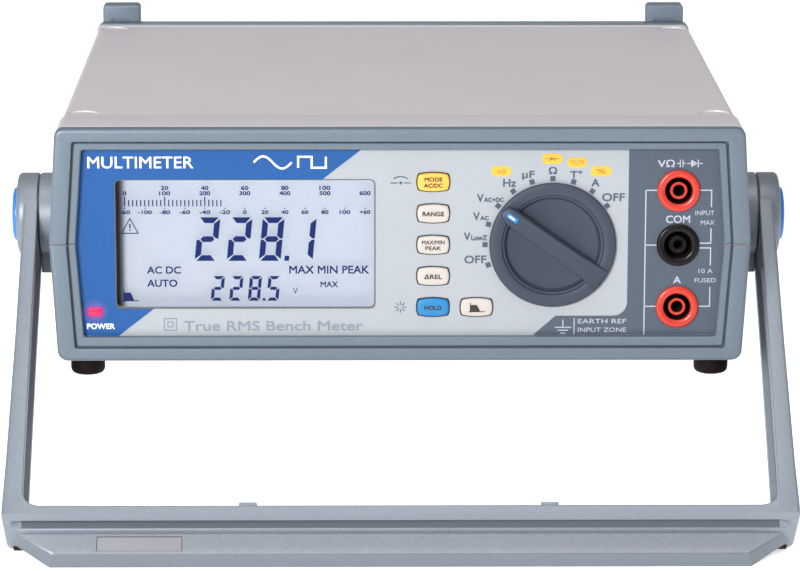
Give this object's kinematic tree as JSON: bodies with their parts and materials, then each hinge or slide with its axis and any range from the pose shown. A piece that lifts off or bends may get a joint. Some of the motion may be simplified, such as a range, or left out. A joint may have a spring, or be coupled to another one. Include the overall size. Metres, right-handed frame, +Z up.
{
  "type": "bench multimeter",
  "caption": "Mains-powered bench multimeter in a two-shell plastic case, standing on its swing-out carrying handle, with a display, keys, rotary function knob and shrouded test sockets.",
  "frame": {"origin": "centre of the bounding box on the floor, with the meter standing on its handle and rear feet", "axes": "+Z up, front panel facing -Y and tipped up by 12.7 degrees, +X to the right seen from the front"},
  "size_m": [0.2948, 0.3308, 0.1466],
  "materials": {
    "shell_plastic": "fine texture",
    "handle_plastic": "fine texture",
    "bumper_plastic": "fine texture",
    "panel_plastic": "printed foil",
    "rear_panel_plastic": "satin",
    "clear_pane": "clear",
    "lcd_cell": "satin",
    "light_guide": "satin",
    "black_plastic": "satin",
    "circuit_board": "solder mask",
    "led_lens": "clear",
    "red_socket": "gloss",
    "black_socket": "gloss",
    "contact_brass": "turned",
    "nut_steel": "zinc plated",
    "spring_steel": "bright",
    "knob_plastic": "satin",
    "pointer_blue": "gloss",
    "switch_plastic": "satin",
    "key_white": "satin",
    "key_yellow": "satin",
    "key_blue": "satin",
    "transformer_iron": "varnished",
    "winding_tape": "tape",
    "capacitor_sleeve": "gloss",
    "shunt_metal": "bright",
    "ribbon_grey": "satin",
    "fuse_body": "matt",
    "foot_rubber": "matt",
    "label_plate": "satin",
    "release_blue": "gloss"
  },
  "bodies": {
    "case": {"upper_shell": "shell_plastic", "lower_shell": "shell_plastic", "pivot_bosses": "shell_plastic", "rear_bumpers": "bumper_plastic", "front_panel": "panel_plastic", "rear_panel": "rear_panel_plastic", "display_window": "clear_pane", "lcd_glass": "lcd_cell", "lcd_backlight": "light_guide", "lcd_frame": "black_plastic", "mains_inlet": "black_plastic", "amp_fuse_holder": "black_plastic", "front_board": "circuit_board", "main_board": "circuit_board", "power_led": "led_lens", "volt_socket": "red_socket", "amp_socket": "red_socket", "common_socket": "black_socket", "socket_contacts": "contact_brass", "inlet_pins": "contact_brass", "socket_nuts": "nut_steel", "board_standoffs": "nut_steel", "board_screws": "nut_steel", "case_screws": "nut_steel", "pivot_shafts": "nut_steel", "switch_stator": "switch_plastic", "key_switches": "switch_plastic", "relays": "switch_plastic", "converter_chips": "switch_plastic", "transformer_core": "transformer_iron", "transformer_windings": "winding_tape", "capacitors": "capacitor_sleeve", "current_shunt": "shunt_metal", "ribbon_cable": "ribbon_grey", "amp_fuse": "fuse_body", "front_feet": "foot_rubber", "rear_feet": "foot_rubber"},
    "handle": {"left_arm": "handle_plastic", "right_arm": "handle_plastic", "crossbar": "handle_plastic", "name_plate": "label_plate", "end_pads": "foot_rubber", "left_release_spring": "spring_steel", "right_release_spring": "spring_steel"},
    "left_button": {"left_release": "release_blue"},
    "right_button": {"right_release": "release_blue"},
    "knob": {"function_knob": "knob_plastic", "knob_pointer": "pointer_blue", "knob_shaft": "nut_steel", "switch_rotor": "switch_plastic"},
    "inlet_drawer": {"fuse_drawer": "black_plastic", "mains_fuse": "fuse_body"},
    "fuse_cap": {"amp_fuse_cap": "black_plastic"},
    "mode_button": {"mode_key": "key_yellow"},
    "range_button": {"range_key": "key_white"},
    "max_min_button": {"max_min_key": "key_white"},
    "relative_button": {"relative_key": "key_white"},
    "hold_button": {"hold_key": "key_blue"},
    "filter_button": {"filter_key": "key_white"}
  },
  "joints": [
    {"name": "handle_swing", "type": "hinge", "parent": "case", "child": "handle", "pos_m": [0, -0.04846, 0.09163], "axis": [1, 0, 0], "range_deg": [-202, 104]},
    {"name": "knob_turn", "type": "hinge", "parent": "case", "child": "knob", "pos_m": [0.0565, -0.09988, 0.1023], "axis": [0, 0.9755, -0.2198], "range_deg": [-54, 108]},
    {"name": "left_release_press", "type": "slide", "parent": "handle", "child": "left_button", "axis": [1, 0, 0], "range_m": [0, 0.002], "stiffness_N_per_m": 1500, "springref_m": -0.001, "deforming": ["left_release_spring"]},
    {"name": "right_release_press", "type": "slide", "parent": "handle", "child": "right_button", "axis": [-1, 0, 0], "range_m": [0, 0.002], "stiffness_N_per_m": 1500, "springref_m": -0.001, "deforming": ["right_release_spring"]},
    {"name": "inlet_drawer_slide", "type": "slide", "parent": "case", "child": "inlet_drawer", "axis": [0, 0.9755, -0.2198], "range_m": [0, 0.018]},
    {"name": "fuse_cap_turn", "type": "hinge", "parent": "case", "child": "fuse_cap", "pos_m": [0.04, 0.14391, 0.04008], "axis": [0, 0.9755, -0.2198], "range_deg": [0, 75]},
    {"name": "mode_key_press", "type": "slide", "parent": "case", "child": "mode_button", "axis": [0, 0.9755, -0.2198], "range_m": [0, 0.0008], "stiffness_N_per_m": 700, "springref_m": -0.0006},
    {"name": "range_key_press", "type": "slide", "parent": "case", "child": "range_button", "axis": [0, 0.9755, -0.2198], "range_m": [0, 0.0008], "stiffness_N_per_m": 700, "springref_m": -0.0006},
    {"name": "max_min_key_press", "type": "slide", "parent": "case", "child": "max_min_button", "axis": [0, 0.9755, -0.2198], "range_m": [0, 0.0008], "stiffness_N_per_m": 700, "springref_m": -0.0006},
    {"name": "relative_key_press", "type": "slide", "parent": "case", "child": "relative_button", "axis": [0, 0.9755, -0.2198], "range_m": [0, 0.0008], "stiffness_N_per_m": 700, "springref_m": -0.0006},
    {"name": "hold_key_press", "type": "slide", "parent": "case", "child": "hold_button", "axis": [0, 0.9755, -0.2198], "range_m": [0, 0.0008], "stiffness_N_per_m": 700, "springref_m": -0.0006},
    {"name": "filter_key_press", "type": "slide", "parent": "case", "child": "filter_button", "axis": [0, 0.9755, -0.2198], "range_m": [0, 0.0008], "stiffness_N_per_m": 700, "springref_m": -0.0006}
  ]
}
